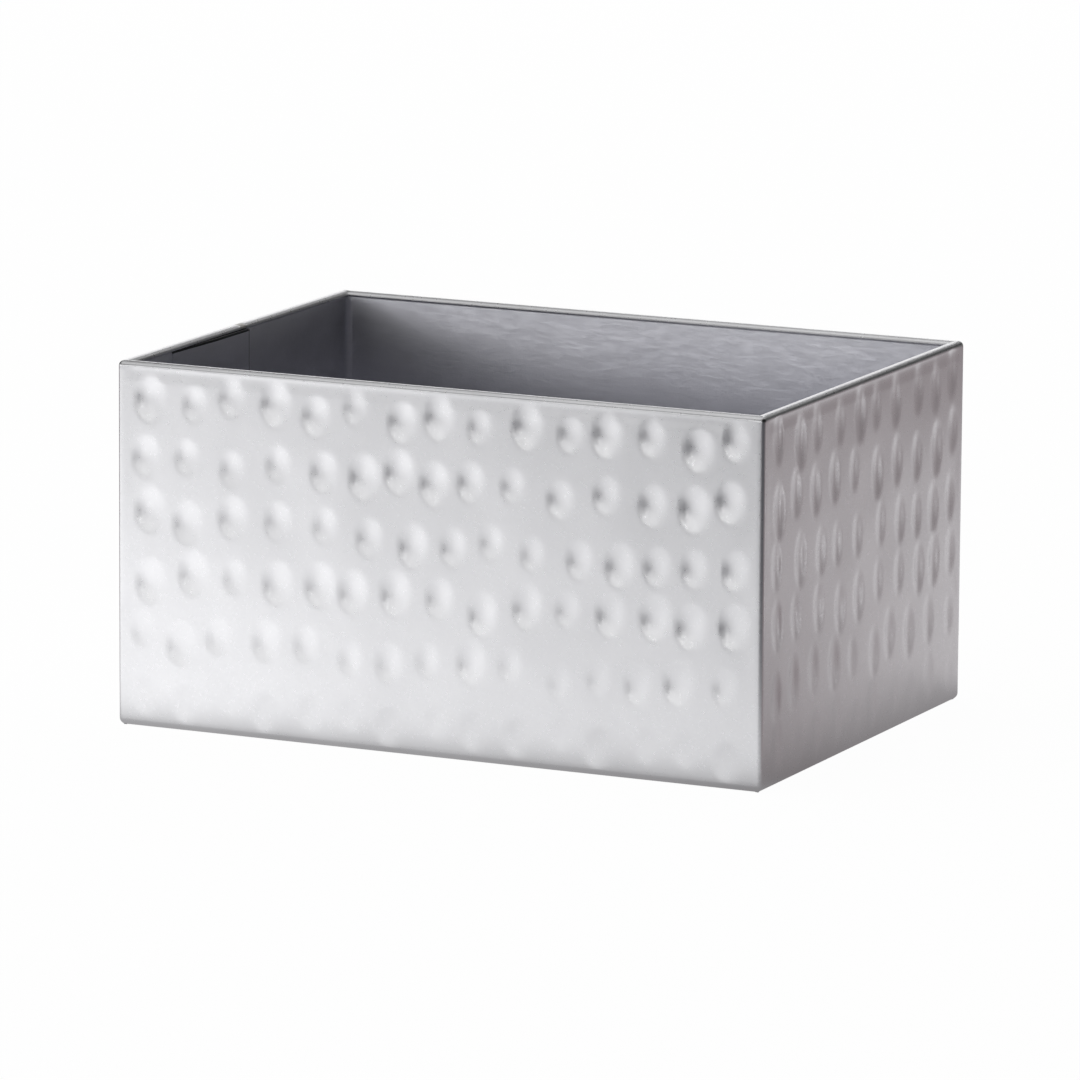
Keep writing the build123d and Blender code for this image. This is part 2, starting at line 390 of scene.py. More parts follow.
@dataclass(frozen=True)
class FoldedSheet:
    """Section of a bent sheet: a wall, a turned-in foot and, where rim_r is set, a turned-in rim.

    Distances in are from the outer face of the wall.

    Attributes:
        thickness: Thickness of the sheet.
        bottom: Level of the underside.
        top: Level of the top.
        foot_r: Outside radius of the bend at the foot.
        foot_edge: How far in the foot reaches.
        rim_r: Outside radius of the bend at the rim, or 0 for a plain top edge.
        rim_edge: How far in the rim reaches.
        rim_roll: Width over which the rim's free edge rolls down.
        slit: Width of the slit where two parts of the foot meet at a corner.
        rim_slit: The same at the rim, where the mitre is nearly closed.
        wall_step: Widest distance between levels on the outer face.
        bend_steps: Number of steps round a bend.
        corner_r: Outside radius of the upright corners, past whose centre no point goes.
    """

    thickness: float
    bottom: float
    top: float
    foot_r: float
    foot_edge: float
    rim_r: float = 0.0
    rim_edge: float = 0.0
    rim_roll: float = 0.7
    slit: float = 0.3
    rim_slit: float = 0.04
    wall_step: float = 0.5
    bend_steps: int = 6
    corner_r: float = math.inf

    # Shares of the way at which the straight parts have points: those of a flange, then of the inside.
    FLAT_SHARES = (0.0, 0.05, 0.95, 1.0)
    INSIDE_SHARES = (0.0, 0.5, 1.0)
    NOSE_STEPS = 4
    # Distance kept between points of a section that would meet at a corner.
    POINT_GAP = 0.03

    @property
    def wall_top(self) -> float:
        """Level at which the straight part of the wall ends."""
        return self.top - (self.rim_r or self.thickness / 2)

    def wall_levels(self) -> np.ndarray:
        """Levels of the outer face of the wall, from its top down."""
        low = self.bottom + self.foot_r
        return np.linspace(self.wall_top, low, math.ceil((self.wall_top - low) / self.wall_step) + 1)

    def bend_angles(self) -> np.ndarray:
        """Angles round a bend, without its two ends."""
        return np.linspace(0.0, math.pi / 2, self.bend_steps + 1)[None, 1:-1]

    @staticmethod
    def mitre_start(edge: float, slit: float) -> float:
        """Distance from a corner at which the slit along its diagonal starts to cut a flange."""
        return edge + slit / math.sqrt(2)

    def flange(self, reach: np.ndarray, edge: float, bend_r: float, slit: float) -> np.ndarray:
        """How far in a flange's free edge lies: its full width, or less where the slit cuts it."""
        return np.clip(reach - slit / math.sqrt(2), bend_r + self.POINT_GAP, edge)[:, None]

    def rim_parts(self, reach: np.ndarray) -> tuple[list[Part], list[Part]]:
        """Parts of the turned-in rim.

        Its top and underside are straight, and its bend is a quarter circle on each side. Its free edge
        is a quarter of an ellipse that rolls down, cut short where a mitre cuts the rim.

        Args:
            reach: Distance of each station from its corner.

        Returns:
            The parts from the free edge over the top to the wall, and those from the wall back under it.
        """
        sheet, radius, inner = self.thickness, self.rim_r, self.rim_r - self.thickness
        flat, bend = np.array([self.FLAT_SHARES]), self.bend_angles()
        edge = self.flange(reach, self.rim_edge, radius, self.rim_slit)
        level_end = np.minimum(edge - self.POINT_GAP, self.rim_edge - self.rim_roll)
        widest = np.arcsin(np.clip((edge - level_end) / self.rim_roll, 0.0, 1.0))
        roll = widest * np.linspace(1.0, 0.0, self.bend_steps + 1)[None, :]
        under_end = edge - 2 * self.POINT_GAP
        over = [
            (edge - self.POINT_GAP, np.full((1, 1), self.top - sheet)),
            (level_end + self.rim_roll * np.sin(roll), self.top - sheet * (1 - np.cos(roll))),
            (level_end + (radius - level_end) * flat[:, 1:], np.full_like(flat[:, 1:], self.top)),
            (radius * (1 - np.sin(bend)), self.top - radius * (1 - np.cos(bend))),
        ]
        under = [
            (radius - inner * np.cos(bend), self.top - radius + inner * np.sin(bend)),
            (radius + (under_end - radius) * flat, np.full_like(flat, self.top - sheet)),
        ]
        return over, under

    def outline(self, stations: Stations, dent: np.ndarray) -> np.ndarray:
        """Closed section at each station, from the top edge down the outside and up the inside.

        Straight parts are shares of the way between their ends, and bends are quarter circles about one
        centre, with the sheet's thickness off the radius inside. The free edge of the foot, and of a wall
        without a rim, is half an ellipse.

        Args:
            stations: Places along the path.
            dent: How far the outer face of the wall is pushed in, one column for each wall level.

        Returns:
            Points in millimetres, as stations by section points by 3.
        """
        half, foot_r, inner = self.thickness / 2, self.foot_r, self.foot_r - self.thickness
        flat, bend = np.array([self.FLAT_SHARES]), self.bend_angles()
        nose = np.linspace(0.0, math.pi, self.NOSE_STEPS + 1)[None, 1:-1]
        foot_top = self.bottom + foot_r
        inside = foot_top + (self.wall_top - foot_top) * np.array([self.INSIDE_SHARES])
        edge = self.flange(stations.reach, self.foot_edge, foot_r, self.slit)
        nose_width = np.minimum(half, edge - foot_r)
        level_end = edge - nose_width
        over: list[Part] = [(half * (1 + np.cos(nose)), self.wall_top + half * np.sin(nose))]
        under: list[Part] = []
        if self.rim_r:
            over, under = self.rim_parts(stations.reach)
        wall_and_foot = [
            (dent, self.wall_levels()[None, :]),
            (foot_r * (1 - np.cos(bend)), foot_top - foot_r * np.sin(bend)),
            (foot_r + (level_end - foot_r) * flat, np.full_like(flat, self.bottom)),
            (level_end + nose_width * np.sin(nose), self.bottom + half * (1 - np.cos(nose))),
            (level_end + (foot_r - level_end) * flat, np.full_like(flat, self.bottom + self.thickness)),
            (foot_r - inner * np.sin(bend), foot_top - inner * np.cos(bend)),
            (np.full_like(inside, self.thickness), inside),
        ]
        inset, level = join_parts(over + wall_and_foot + under, len(stations.point))
        turned = np.abs(stations.outward).min(axis=1) > 0
        inset = np.minimum(inset, np.where(turned, self.corner_r - self.POINT_GAP, math.inf)[:, None])
        plan = stations.point[:, None, :] - inset[:, :, None] * stations.outward[:, None, :]
        return np.concatenate([plan, level[:, :, None]], axis=2)


@dataclass
class Shell:
    """Vertices and faces of one piece, gathered from closed surfaces.

    Attributes:
        vertices: Blocks of points, in millimetres.
        loops: Blocks of vertex numbers, face after face.
        sizes: Blocks of corner counts, one for each face.
        smooth: Blocks of flags, one for each face.
    """

    vertices: list[np.ndarray] = field(default_factory=list)
    loops: list[np.ndarray] = field(default_factory=list)
    sizes: list[np.ndarray] = field(default_factory=list)
    smooth: list[np.ndarray] = field(default_factory=list)

    LENS_RINGS = 8
    LENS_SIDES = 32

    def add(self, points: np.ndarray, quads: np.ndarray, caps: np.ndarray, round_caps: bool) -> None:
        """Adds a closed surface.

        Args:
            points: Its points, as a grid.
            quads: Point numbers of the faces between them, in fours.
            caps: Point numbers of its two end faces, one row each.
            round_caps: Whether the end faces are shaded as round.
        """
        first = sum(len(block) for block in self.vertices)
        self.vertices.append(points.reshape(-1, 3))
        for faces, smooth in ((quads.reshape(-1, 4), True), (caps, round_caps)):
            count, corners = faces.shape
            self.loops.append(first + faces.ravel())
            self.sizes.append(np.full(count, corners))
            self.smooth.append(np.full(count, smooth))

    def add_sweep(self, outline: np.ndarray) -> None:
        """Adds a closed section carried along a path, with a flat cap at each end.

        Faces join each point to the next in its section and to the same two of the next section, in the
        order that makes them look outwards.

        Args:
            outline: Points as stations by section points by 3, down the outside of the section first.
        """
        number = np.arange(outline[..., 0].size).reshape(outline.shape[:2])
        after = np.roll(number, -1, axis=1)
        quads = np.stack([number[:-1], after[:-1], after[1:], number[1:]], axis=2)
        self.add(outline, quads, np.stack([number[0, ::-1], number[-1]]), False)

    def add_lens(
        self, middle: np.ndarray, across: np.ndarray, over: np.ndarray, lift: np.ndarray, fullness: int = 2
    ) -> None:
        """Adds a shallow round button, closed on both sides.

        A point is the middle plus a radius times the cosine and sine of an angle in the button's plane,
        plus the lift times one less a power of the share of the radius; the far side is the mirrored one.

        Args:
            middle: Middle of the button.
            across: Radius as a vector in the button's plane.
            over: Radius as the other vector in that plane.
            lift: Height of its crown as a vector.
            fullness: The power; the higher, the flatter the crown.
        """
        tilt = np.linspace(0.0, math.pi, self.LENS_RINGS + 1)[None, 1:-1, None]
        share, side = np.sin(tilt), np.sign(np.cos(tilt))
        angle = np.linspace(0.0, 2 * math.pi, self.LENS_SIDES + 1)[:-1, None, None]
        turned = np.cos(angle) * across + np.sin(angle) * over
        points = middle + share * turned + side * (1 - share**fullness) * lift
        number = np.arange(points[..., 0].size).reshape(points.shape[:2])
        after = np.roll(number, -1, axis=0)
        quads = np.stack([number[:, :-1], number[:, 1:], after[:, 1:], after[:, :-1]], axis=2)
        self.add(points, quads, np.stack([number[:, 0], number[::-1, -1]]), True)

    def piece(self, name: str, material: bpy.types.Material) -> bpy.types.Object:
        """Makes the mesh object, in metres, and gives it its finish.

        Args:
            name: Name of the piece.
            material: Its finish.

        Returns:
            The object, at the origin.
        """
        vertices = np.concatenate(self.vertices) * MM
        loops = np.concatenate(self.loops)
        sizes = np.concatenate(self.sizes)
        mesh = bpy.data.meshes.new(name)
        mesh.vertices.add(len(vertices))
        mesh.vertices.foreach_set("co", vertices.ravel().astype(np.float32))
        mesh.loops.add(len(loops))
        mesh.loops.foreach_set("vertex_index", loops.astype(np.int32))
        mesh.polygons.add(len(sizes))
        mesh.polygons.foreach_set("loop_start", (np.cumsum(sizes) - sizes).astype(np.int32))
        mesh.update(calc_edges=True)
        mesh.polygons.foreach_set("use_smooth", np.concatenate(self.smooth))
        mesh.validate()
        mesh.materials.append(material)
        piece = bpy.data.objects.new(name, mesh)
        bpy.context.scene.collection.objects.link(piece)
        return piece


class Value:
    """A number that varies over a surface: a socket whose operators add Math nodes."""

    def __init__(self, shader: "Shader", socket: bpy.types.NodeSocket) -> None:
        """Wraps one output socket of a shader's tree."""
        self.shader = shader
        self.socket = socket

    def math(self, operation: str, first: "Value | float", second: "Value | float") -> "Value":
        """Adds one Math node on two numbers or values."""
        node = self.shader.node("ShaderNodeMath", {"operation": operation}, {0: first, 1: second})
        return Value(self.shader, node.outputs[0])

    def __add__(self, other: "Value | float") -> "Value":
        """Sum."""
        return self.math("ADD", self, other)

    def __sub__(self, other: "Value | float") -> "Value":
        """Difference."""
        return self.math("SUBTRACT", self, other)

    def __rsub__(self, other: float) -> "Value":
        """Difference from a number."""
        return self.math("SUBTRACT", other, self)

    def __mul__(self, other: "Value | float") -> "Value":
        """Product."""
        return self.math("MULTIPLY", self, other)

    __radd__ = __add__
    __rmul__ = __mul__

    def most(self, other: "Value | float") -> "Value":
        """Larger of the two."""
        return self.math("MAXIMUM", self, other)

    def size(self) -> "Value":
        """Size without its sign."""
        return self.math("ABSOLUTE", self, 0.0)

    def between(self, low: float, high: float) -> "Value":
        """Eases from 0 at one value to 1 at another."""
        sockets = {"Value": self, "From Min": low, "From Max": high}
        node = self.shader.node("ShaderNodeMapRange", {"interpolation_type": "SMOOTHSTEP"}, sockets)
        return Value(self.shader, node.outputs[0])


Feed = Value | bpy.types.NodeSocket | float | tuple[float, ...]


class Shader:
    """Node tree of one finish, to which any node is added by one method."""

    def __init__(self, tree: bpy.types.NodeTree) -> None:
        """Starts from an empty tree."""
        self.tree = tree
        tree.nodes.clear()

    def node(
        self, kind: str, settings: dict[str, object], sockets: dict[str | int, Feed]
    ) -> bpy.types.Node:
        """Adds a node.

        Args:
            kind: Type of the node.
            settings: Its properties, set first.
            sockets: Numbers, colours or links of its inputs, by name or place.

        Returns:
            The node.
        """
        node = self.tree.nodes.new(kind)
        for name, setting in settings.items():
            setattr(node, name, setting)
        for key, feed in sockets.items():
            source = feed.socket if isinstance(feed, Value) else feed
            if isinstance(source, bpy.types.NodeSocket):
                self.tree.links.new(source, node.inputs[key])
            else:
                node.inputs[key].default_value = source
        return node

    def object_place(self) -> bpy.types.NodeSocket:
        """Object coordinates, in metres."""
        return self.node("ShaderNodeTexCoord", {}, {}).outputs["Object"]

    def place(self) -> tuple[Value, Value, Value]:
        """Object coordinates along X, Y and Z, in metres."""
        x, y, z = self.node("ShaderNodeSeparateXYZ", {}, {0: self.object_place()}).outputs
        return Value(self, x), Value(self, y), Value(self, z)

    def noise(self, scale: tuple[float, float, float], detail: float, distortion: float = 0.0) -> Value:
        """Noise from 0 to 1 on Object coordinates.

        Args:
            scale: Repeats per metre along X, Y and Z.
            detail: Number of finer layers.
            distortion: How far the pattern is warped.

        Returns:
            The noise.
        """
        mapping = self.node("ShaderNodeMapping", {}, {"Vector": self.object_place(), "Scale": scale})
        sockets = {"Vector": mapping.outputs[0], "Scale": 1.0, "Detail": detail, "Distortion": distortion}
        return Value(self, self.node("ShaderNodeTexNoise", {}, sockets).outputs[0])

    def tint(self, share: Value, first: Feed, second: Feed) -> bpy.types.NodeSocket:
        """Colour between two colours or their sockets: the first at a share of 0, the second at 1."""
        mixed = self.node("ShaderNodeMix", {"data_type": "RGBA"}, {0: share, 6: first, 7: second})
        return mixed.outputs[2]

    def bump(self, height: Value, distance: float) -> bpy.types.NodeSocket:
        """Normal roughened by a height from 0 to 1, whose depth is in millimetres."""
        sockets = {"Strength": 1.0, "Distance": distance * MM, "Height": height}
        return self.node("ShaderNodeBump", {}, sockets).outputs["Normal"]


@dataclass(frozen=True)
class SteelFinish:
    """A stainless steel surface.

    Attributes:
        name: Name of the finish.
        colour: Colour of the brighter metal.
        shade: Colour of the duller metal.
        roughness: Middle roughness.
        roughness_spread: How much the roughness varies, up and down.
        grain: Depth of the finest relief, in millimetres.
    """

    name: str
    colour: Colour
    shade: Colour
    roughness: float
    roughness_spread: float
    grain: float

    # Repeats per metre of the patches and of the grain.
    PATCHES = (70.0, 70.0, 70.0)
    GRAIN = (2400.0, 2400.0, 2400.0)
    # Stretches of the noise over which the colour and the roughness change.
    COLOUR_STRETCH = (0.3, 0.7)
    ROUGHNESS_STRETCH = (0.25, 0.75)

    def pattern(self, shader: Shader) -> tuple[Value, Value]:
        """Patches of the finish and its fine relief, both from 0 to 1."""
        patches = shader.noise(self.PATCHES, detail=4.0, distortion=0.4)
        return patches, shader.noise(self.GRAIN, detail=3.0)

    def colour_feed(self, shader: Shader, patches: Value) -> bpy.types.NodeSocket:
        """Colour by the patches."""
        return shader.tint(patches.between(*self.COLOUR_STRETCH), self.shade, self.colour)

    def roughness_feed(self, shader: Shader, relief: Value) -> Value:
        """Roughness by the relief."""
        low = self.roughness - self.roughness_spread
        return low + 2 * self.roughness_spread * relief.between(*self.ROUGHNESS_STRETCH)

    def material(self) -> bpy.types.Material:
        """Makes the material: the patches set the colour, the relief the roughness and the normal.

        Returns:
            The material.
        """
        material = bpy.data.materials.new(self.name)
        material.use_nodes = True
        shader = Shader(material.node_tree)
        patches, relief = self.pattern(shader)
        sockets = {
            "Base Color": self.colour_feed(shader, patches),
            "Metallic": 1.0,
            "Roughness": self.roughness_feed(shader, relief),
            "Normal": shader.bump(relief, self.grain),
        }
        surface = shader.node("ShaderNodeBsdfPrincipled", {}, sockets)
        shader.node("ShaderNodeOutputMaterial", {}, {"Surface": surface.outputs[0]})
        return material


@dataclass(frozen=True)
class BrushedFinish(SteelFinish):
    """Steel brushed one way: the relief is noise drawn out along the streaks.

    Attributes:
        streaks: Which way the streaks run.
    """

    streaks: Streaks = Streaks.ROUND_THE_WALLS

    PATCHES = (45.0, 45.0, 90.0)
    # Share of the fine streaks in the relief; the others are twice as coarse.
    FINE_SHARE = 0.6

    def pattern(self, shader: Shader) -> tuple[Value, Value]:
        """Cloudy patches, and streaks of two widths, both from 0 to 1.

        Args:
            shader: Tree that the pattern is added to.

        Returns:
            The patches and the streaks.
        """
        patches = shader.noise(self.PATCHES, detail=4.0, distortion=0.6)
        fine, coarse = (
            shader.noise(tuple(scale / width for scale in self.streaks.value), detail=2.0, distortion=0.8)
            for width in (1, 2)
        )
        return patches, self.FINE_SHARE * fine + (1 - self.FINE_SHARE) * coarse


@dataclass(frozen=True)
class LinerFinish(BrushedFinish):
    """Brushed steel of the liner: dull in the upright bends, painted shade on the lap's free and top edges.

    A bend is where a point is farther out than both of its places. The dark line is painted shadow
    of the step at the lap's free edge; it fades with the distance from that edge, on the left wall
    alone. The dark cut top edge is painted shade that hides its highlight. Sizes are in millimetres.

    Attributes:
        bend: Place at which the upright bends start along X and Y.
        bend_width: Distance over which a bend fades in.
        bend_roughness: Roughness added in the bends.
        wall_fade: Distance before the left bends over which the lap's colours fade in.
        lap: Where the lap starts and ends along Y.
        lap_top: Level of the lap's cut top edge.
        line_width: Half of the width of the painted shadow line.
        lap_shadow_colour: Colour of that painted shadow line along the lap's free edge.
        cut_shade_colour: Colour of the cut top edge: painted shade that hides its highlight.
        cut_depth: Distances below the lap's top at which that colour starts and is full.
        cut_fade: Distance past the ends of the lap over which it fades out.
    """

    bend: Pair = (0.0, 0.0)
    bend_width: float = 0.35
    bend_roughness: float = 0.40
    wall_fade: float = 1.0
    lap: Pair = (0.0, 0.0)
    lap_top: float = 0.0
    line_width: float = 0.45
    # Painted shadow of the step at the lap's free edge.
    lap_shadow_colour: Colour = (0.30, 0.29, 0.31, 1.0)
    # Painted shade on the cut top edge, which hides the highlight it would catch.
    cut_shade_colour: Colour = (0.04, 0.04, 0.045, 1.0)
    cut_depth: Pair = (0.45, 0.30)
    cut_fade: float = 0.2

    def colour_feed(self, shader: Shader, patches: Value) -> bpy.types.NodeSocket:
        """Colour by the patches, with painted shade along the lap's free edge and on its cut top edge.

        Args:
            shader: Tree that the nodes are added to.
            patches: The patches.

        Returns:
            The colour's socket.
        """
        x, y, z = shader.place()
        start, end = self.lap
        left = (0.0 - x).between((self.bend[0] - self.wall_fade) * MM, self.bend[0] * MM)
        # Painted shadow line along the lap's free edge, on the left wall.
        line = 1 - (y - end * MM).size().between(0.0, self.line_width * MM)
        lap_shadowed = shader.tint(line * left, super().colour_feed(shader, patches), self.lap_shadow_colour)
        # Painted shade on the lap's cut top edge, over the lap alone.
        cut = z.between(*((self.lap_top - depth) * MM for depth in self.cut_depth))
        begun = y.between((start - self.cut_fade) * MM, start * MM)
        over = begun * (1 - y.between(end * MM, (end + self.cut_fade) * MM))
        return shader.tint(left * cut * over, lap_shadowed, self.cut_shade_colour)

    def roughness_feed(self, shader: Shader, relief: Value) -> Value:
        """Roughness by the relief, more in the bends.

        Args:
            shader: Tree that the nodes are added to.
            relief: The relief.

        Returns:
            The roughness.
        """
        x, y, _ = shader.place()
        across, along = (
            place.size().between(start * MM, (start + self.bend_width) * MM)
            for place, start in zip((x, y), self.bend)
        )
        return super().roughness_feed(shader, relief) + self.bend_roughness * (across * along)


HAMMERED = SteelFinish(
    "hammered_steel",
    colour=(0.91, 0.91, 0.925, 1.0),
    shade=(0.86, 0.86, 0.875, 1.0),
    roughness=0.30,
    roughness_spread=0.03,
    grain=0.0005,
)
LINER_BRUSHED = LinerFinish(
    "brushed_liner",
    colour=(0.82, 0.82, 0.88, 1.0),
    shade=(0.75, 0.75, 0.81, 1.0),
    roughness=0.38,
    roughness_spread=0.06,
    grain=0.018,
)
FLOOR_BRUSHED = BrushedFinish(
    "brushed_floor",
    colour=(0.72, 0.72, 0.75, 1.0),
    shade=(0.64, 0.64, 0.67, 1.0),
    roughness=0.33,
    roughness_spread=0.05,
    grain=0.004,
    streaks=Streaks.LENGTHWISE,
)
MILL_PLATE = SteelFinish(
    "mill_plate",
    colour=(0.62, 0.62, 0.62, 1.0),
    shade=(0.50, 0.50, 0.51, 1.0),
    roughness=0.42,
    roughness_spread=0.06,
    grain=0.003,
)
GROUND_WELD = SteelFinish(
    "ground_weld",
    colour=(0.74, 0.72, 0.69, 1.0),
    shade=(0.62, 0.60, 0.58, 1.0),
    roughness=0.38,
    roughness_spread=0.06,
    grain=0.004,
)


def place_piece(piece: bpy.types.Object, slot: str, *nodes: str) -> None:
    """Rides a piece on the holder, in place of solids of the frame, and logs the name of its finish.

    Args:
        piece: The piece.
        slot: Name of its finish, for the log.
        nodes: Solids that the piece stands for.
    """
    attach(piece, BODY)
    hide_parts(*nodes)
    LOG.info("%s: %d vertices, slot %s", piece.name, len(piece.data.vertices), slot)


@dataclass
class OuterSkin:
    """The hammered band with its rim and base flange, its seam weld and the plug welds of its flange.

    Attributes:
        marks: The hammer marks.
        corner_r: Outside radius of the upright corners.
        rim_r: Outside radius of the rim's bend.
        foot_r: Outside radius of the base flange's bend.
        rim_width: How far in the rim reaches.
        flange_width: How far in the base flange reaches.
        seam_y: Place of the seam weld on the left wall.
        seam_w: Width of the seam weld.
        weld_crown: How far a weld is left standing after grinding.
        plug_fullness: How flat the crowns of the plug welds are.
        hem_height: Height of the band below the rim that the folding pressed in.
        hem_step: How far that band is pressed in.
        hem_slope: Height over which the band meets the wall.
        ripple_depth: How far the hammering made the sheet wavy.
        ripples: The waves.
        step: Spacing of stations and levels.
    """

    marks: HammerMarks = HammerMarks()
    corner_r: float = 0.64
    rim_r: float = 0.75
    foot_r: float = 1.0
    rim_width: float = 1.75
    flange_width: float = 6.0
    seam_y: float = 0.0
    seam_w: float = 1.5
    weld_crown: float = 0.04
    plug_fullness: int = 12
    hem_height: float = 2.4
    hem_step: float = 0.05
    hem_slope: float = 0.5
    ripple_depth: float = 0.08
    ripples: tuple[Ripple, ...] = (
        Ripple(along=0.37, up=0.16, wall=1.7, sway=1.4, sway_along=-0.07, sway_up=0.11),
        Ripple(along=0.19, up=-0.41, wall=3.91, sway=1.1, sway_along=0.13, sway_up=0.0),
    )
    step: float = 0.53

    SEAM_STEPS = 8

    def __post_init__(self) -> None:
        """Takes the outside size and the thickness of the sheet from the frame."""
        self.half_x, self.half_y, self.height = node_box("outer_skin")[1]
        self.sheet_t = node_box("base_plate")[0][2]
        self.sheet = FoldedSheet(
            thickness=self.sheet_t,
            bottom=0.0,
            top=self.height,
            foot_r=self.foot_r,
            foot_edge=self.flange_width,
            rim_r=self.rim_r,
            rim_edge=self.rim_width,
            wall_step=self.step,
            corner_r=self.corner_r,
        )
        breaks = (
            self.rim_width - self.sheet_t,
            self.sheet.mitre_start(self.rim_width, self.sheet.rim_slit),
            self.sheet.mitre_start(self.flange_width, self.sheet.slit),
        )
        self.path = BandPath(self.half_x, self.half_y, self.corner_r, self.step, breaks)

    def wall_dents(self, stations: Stations) -> np.ndarray:
        """Hammered relief of the wall at every station and level.

        Args:
            stations: Places along the path.

        Returns:
            How far the outer face is pushed in.
        """
        levels = self.sheet.wall_levels()
        dent = np.zeros((len(stations.point), len(levels)))
        for wall in Wall:
            half = self.path.halves(wall)[0]
            marks = self.marks.places(wall, 2 * half, self.height)
            if wall is Wall.LEFT:
                clear = self.marks.reach + self.seam_w / 2
                marks = marks[np.abs(marks[:, 0] + self.seam_y) >= clear]
            chosen = stations.wall == wall.value
            dent[chosen] = self.marks.dent(wall, marks, stations.along[chosen], levels)
        flat = smooth_step((stations.reach - self.corner_r) / self.hem_height)[:, None]
        return dent + flat * (self.hem(levels) + self.waves(stations, levels))

    def hem(self, levels: np.ndarray) -> np.ndarray:
        """Depth of the band below the rim: it eases from nothing to the full step."""
        return self.hem_step * smooth_step((levels - self.height + self.hem_height) / self.hem_slope)

    def waves(self, stations: Stations, levels: np.ndarray) -> np.ndarray:
        """Unevenness of the hammered sheet: the mean of its ripples, which die out at the top and foot.

        Args:
            stations: Places along the path.
            levels: Levels of the wall.

        Returns:
            Depths from 0 to the ripples' depth, one row for each station and one column for each level.
        """
        along, up, wall = stations.along[:, None], levels[None, :], stations.wall[:, None]
        mean = sum(ripple.swing(along, up, wall) for ripple in self.ripples) / len(self.ripples)
        ends = np.sin(math.pi * np.clip(up / self.height, 0.0, 1.0))
        return self.ripple_depth * ends * (1 + mean) / 2

    def build(self) -> None:
        """Builds the band, the weld that closes it and the plug welds under it.

        The weld is a strip of the same section that stands out by its crown times one less the squared
        share of its half width.
        """
        stations = self.path.round_from(self.seam_y - self.seam_w / 2, self.seam_y + self.seam_w / 2)
        band = Shell()
        band.add_sweep(self.sheet.outline(stations, self.wall_dents(stations)))
        place_piece(band.piece("hammered_skin", HAMMERED.material()), "hammered_steel", "outer_skin")

        ground = GROUND_WELD.material()
        fine_path = replace(self.path, step=self.seam_w / self.SEAM_STEPS, breaks=())
        middle = -self.seam_y
        strip = fine_path.run(Wall.LEFT, middle - self.seam_w / 2, middle + self.seam_w / 2)
        across = (strip.along - middle) / (self.seam_w / 2)
        crown = -self.weld_crown * (1 - across**2)[:, None] * np.ones_like(self.sheet.wall_levels())
        weld = Shell()
        weld.add_sweep(self.sheet.outline(strip, crown))
        place_piece(weld.piece("seam_weld", ground), "ground_weld", "skin_seam_weld")

        plugs = Shell()
        lift = (self.sheet_t / 2 + self.weld_crown) * Z_AXIS
        for x, y in plug_places(self.half_x, self.half_y, (self.foot_r + self.flange_width) / 2):
            spot = np.array([x, y, self.sheet_t / 2])
            plugs.add_lens(spot, PLUG_R * X_AXIS, PLUG_R * Y_AXIS, lift, self.plug_fullness)
        place_piece(plugs.piece("flange_plug_welds", ground), "ground_weld", "base_plug_welds")


